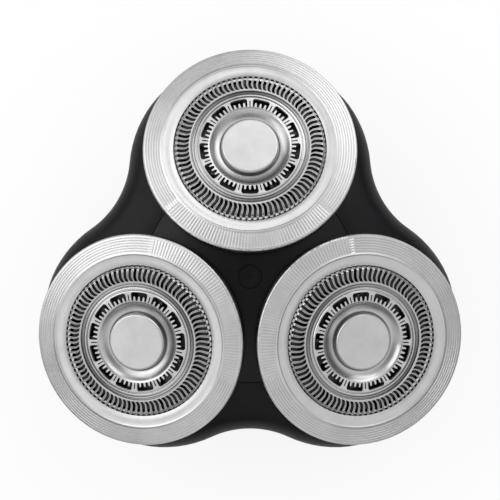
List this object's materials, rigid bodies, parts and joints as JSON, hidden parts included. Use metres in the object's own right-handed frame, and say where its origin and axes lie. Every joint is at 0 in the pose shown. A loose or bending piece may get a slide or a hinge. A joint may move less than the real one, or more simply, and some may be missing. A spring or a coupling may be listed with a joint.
{
  "type": "rotary shaver head",
  "caption": "Rotary shaver head with hinged, sprung shaving heads, slotted steel guards and a gear drive under a rounded black housing",
  "frame": {"origin": "on the unit's axis at the foot of the coupling stem", "axes": "+Z towards the skin, out of the top; +Y towards the first of the shaving heads; X to the right seen from above"},
  "size_m": [0.0686, 0.0647, 0.0327],
  "materials": {
    "satin_silver": "satin silver with fine ridges",
    "steel": "polished and finely ground",
    "cap_silver": null,
    "black_plastic": "satin black",
    "grey_plastic": "satin dark grey",
    "white_plastic": "natural white"
  },
  "bodies": {
    "root": {"base_housing": "black_plastic", "gear_plate": "grey_plastic", "plate_screws": "steel", "outer_frame": "black_plastic", "centre_cover": "black_plastic", "centre_screw": "black_plastic", "pod_pin_1": "steel", "pod_pin_2": "steel", "pod_pin_3": "steel", "pod_spring_1": "steel", "pod_spring_2": "steel", "pod_spring_3": "steel"},
    "drive": {"sun_gear": "white_plastic"},
    "planet_1": {"planet_gear_1": "white_plastic", "spindle_spring_1": "steel"},
    "spindle_1": {"drive_spindle_1": "white_plastic"},
    "pod_1": {"pod_bowl_1": "black_plastic", "cover_pin_1": "steel"},
    "cover_1": {"head_cover_1": "grey_plastic", "skin_ring_1": "satin_silver", "guard_1": "steel", "guard_cap_1": "cap_silver", "retaining_frame_1": "black_plastic"},
    "cutting_1": {"cutter_1": "steel", "cutter_hub_1": "grey_plastic"},
    "planet_2": {"planet_gear_2": "white_plastic", "spindle_spring_2": "steel"},
    "spindle_2": {"drive_spindle_2": "white_plastic"},
    "pod_2": {"pod_bowl_2": "black_plastic", "cover_pin_2": "steel"},
    "cover_2": {"head_cover_2": "grey_plastic", "skin_ring_2": "satin_silver", "guard_2": "steel", "guard_cap_2": "cap_silver", "retaining_frame_2": "black_plastic"},
    "cutting_2": {"cutter_2": "steel", "cutter_hub_2": "grey_plastic"},
    "planet_3": {"planet_gear_3": "white_plastic", "spindle_spring_3": "steel"},
    "spindle_3": {"drive_spindle_3": "white_plastic"},
    "pod_3": {"pod_bowl_3": "black_plastic", "cover_pin_3": "steel"},
    "cover_3": {"head_cover_3": "grey_plastic", "skin_ring_3": "satin_silver", "guard_3": "steel", "guard_cap_3": "cap_silver", "retaining_frame_3": "black_plastic"},
    "cutting_3": {"cutter_3": "steel", "cutter_hub_3": "grey_plastic"}
  },
  "joints": [
    {"name": "drive_spin", "type": "hinge", "parent": "root", "child": "drive", "pos_m": [0, 0, 0], "axis": [0, 0, 1], "continuous": true},
    {"name": "planet_spin_1", "type": "hinge", "parent": "root", "child": "planet_1", "pos_m": [0, 0.01928, 0], "axis": [0, 0, 1], "continuous": true},
    {"name": "spindle_slide_1", "type": "slide", "parent": "planet_1", "child": "spindle_1", "axis": [0, 0, 1], "range_m": [-0.001, 0], "deforming": ["spindle_spring_1"]},
    {"name": "pod_tilt_1", "type": "hinge", "parent": "root", "child": "pod_1", "pos_m": [0, 0.00698, 0.02016], "axis": [-1, 0, 0], "range_deg": [0, 4], "stiffness_Nm_per_rad": 0.05, "springref_deg": -14.32, "deforming": ["pod_spring_1"]},
    {"name": "cover_open_1", "type": "hinge", "parent": "pod_1", "child": "cover_1", "pos_m": [0, 0.03479, 0.02081], "axis": [-1, 0, 0], "range_deg": [0, 90]},
    {"name": "cutter_spin_1", "type": "hinge", "parent": "cover_1", "child": "cutting_1", "pos_m": [0, 0.0203, 0.0278], "axis": [0, 0.2924, 0.9563], "continuous": true},
    {"name": "planet_spin_2", "type": "hinge", "parent": "root", "child": "planet_2", "pos_m": [-0.01669, -0.00964, 0], "axis": [0, 0, 1], "continuous": true},
    {"name": "spindle_slide_2", "type": "slide", "parent": "planet_2", "child": "spindle_2", "axis": [0, 0, 1], "range_m": [-0.001, 0], "deforming": ["spindle_spring_2"]},
    {"name": "pod_tilt_2", "type": "hinge", "parent": "root", "child": "pod_2", "pos_m": [-0.00605, -0.00349, 0.02016], "axis": [0.5, -0.866, 0], "range_deg": [0, 4], "stiffness_Nm_per_rad": 0.05, "springref_deg": -14.32, "deforming": ["pod_spring_2"]},
    {"name": "cover_open_2", "type": "hinge", "parent": "pod_2", "child": "cover_2", "pos_m": [-0.03013, -0.01739, 0.02081], "axis": [0.5, -0.866, 0], "range_deg": [0, 90]},
    {"name": "cutter_spin_2", "type": "hinge", "parent": "cover_2", "child": "cutting_2", "pos_m": [-0.01758, -0.01015, 0.0278], "axis": [-0.2532, -0.1462, 0.9563], "continuous": true},
    {"name": "planet_spin_3", "type": "hinge", "parent": "root", "child": "planet_3", "pos_m": [0.01669, -0.00964, 0], "axis": [0, 0, 1], "continuous": true},
    {"name": "spindle_slide_3", "type": "slide", "parent": "planet_3", "child": "spindle_3", "axis": [0, 0, 1], "range_m": [-0.001, 0], "deforming": ["spindle_spring_3"]},
    {"name": "pod_tilt_3", "type": "hinge", "parent": "root", "child": "pod_3", "pos_m": [0.00605, -0.00349, 0.02016], "axis": [0.5, 0.866, 0], "range_deg": [0, 4], "stiffness_Nm_per_rad": 0.05, "springref_deg": -14.32, "deforming": ["pod_spring_3"]},
    {"name": "cover_open_3", "type": "hinge", "parent": "pod_3", "child": "cover_3", "pos_m": [0.03013, -0.01739, 0.02081], "axis": [0.5, 0.866, 0], "range_deg": [0, 90]},
    {"name": "cutter_spin_3", "type": "hinge", "parent": "cover_3", "child": "cutting_3", "pos_m": [0.01758, -0.01015, 0.0278], "axis": [0.2532, -0.1462, 0.9563], "continuous": true}
  ],
  "couplings": [
    {"joint": "planet_spin_1", "follows": "drive_spin", "ratio": -2.5},
    {"joint": "cutter_spin_1", "follows": "drive_spin", "ratio": -2.5},
    {"joint": "spindle_slide_1", "follows": "pod_tilt_1", "m_per_rad": -0.012292},
    {"joint": "planet_spin_2", "follows": "drive_spin", "ratio": -2.5},
    {"joint": "cutter_spin_2", "follows": "drive_spin", "ratio": -2.5},
    {"joint": "spindle_slide_2", "follows": "pod_tilt_2", "m_per_rad": -0.012292},
    {"joint": "planet_spin_3", "follows": "drive_spin", "ratio": -2.5},
    {"joint": "cutter_spin_3", "follows": "drive_spin", "ratio": -2.5},
    {"joint": "spindle_slide_3", "follows": "pod_tilt_3", "m_per_rad": -0.012292}
  ]
}
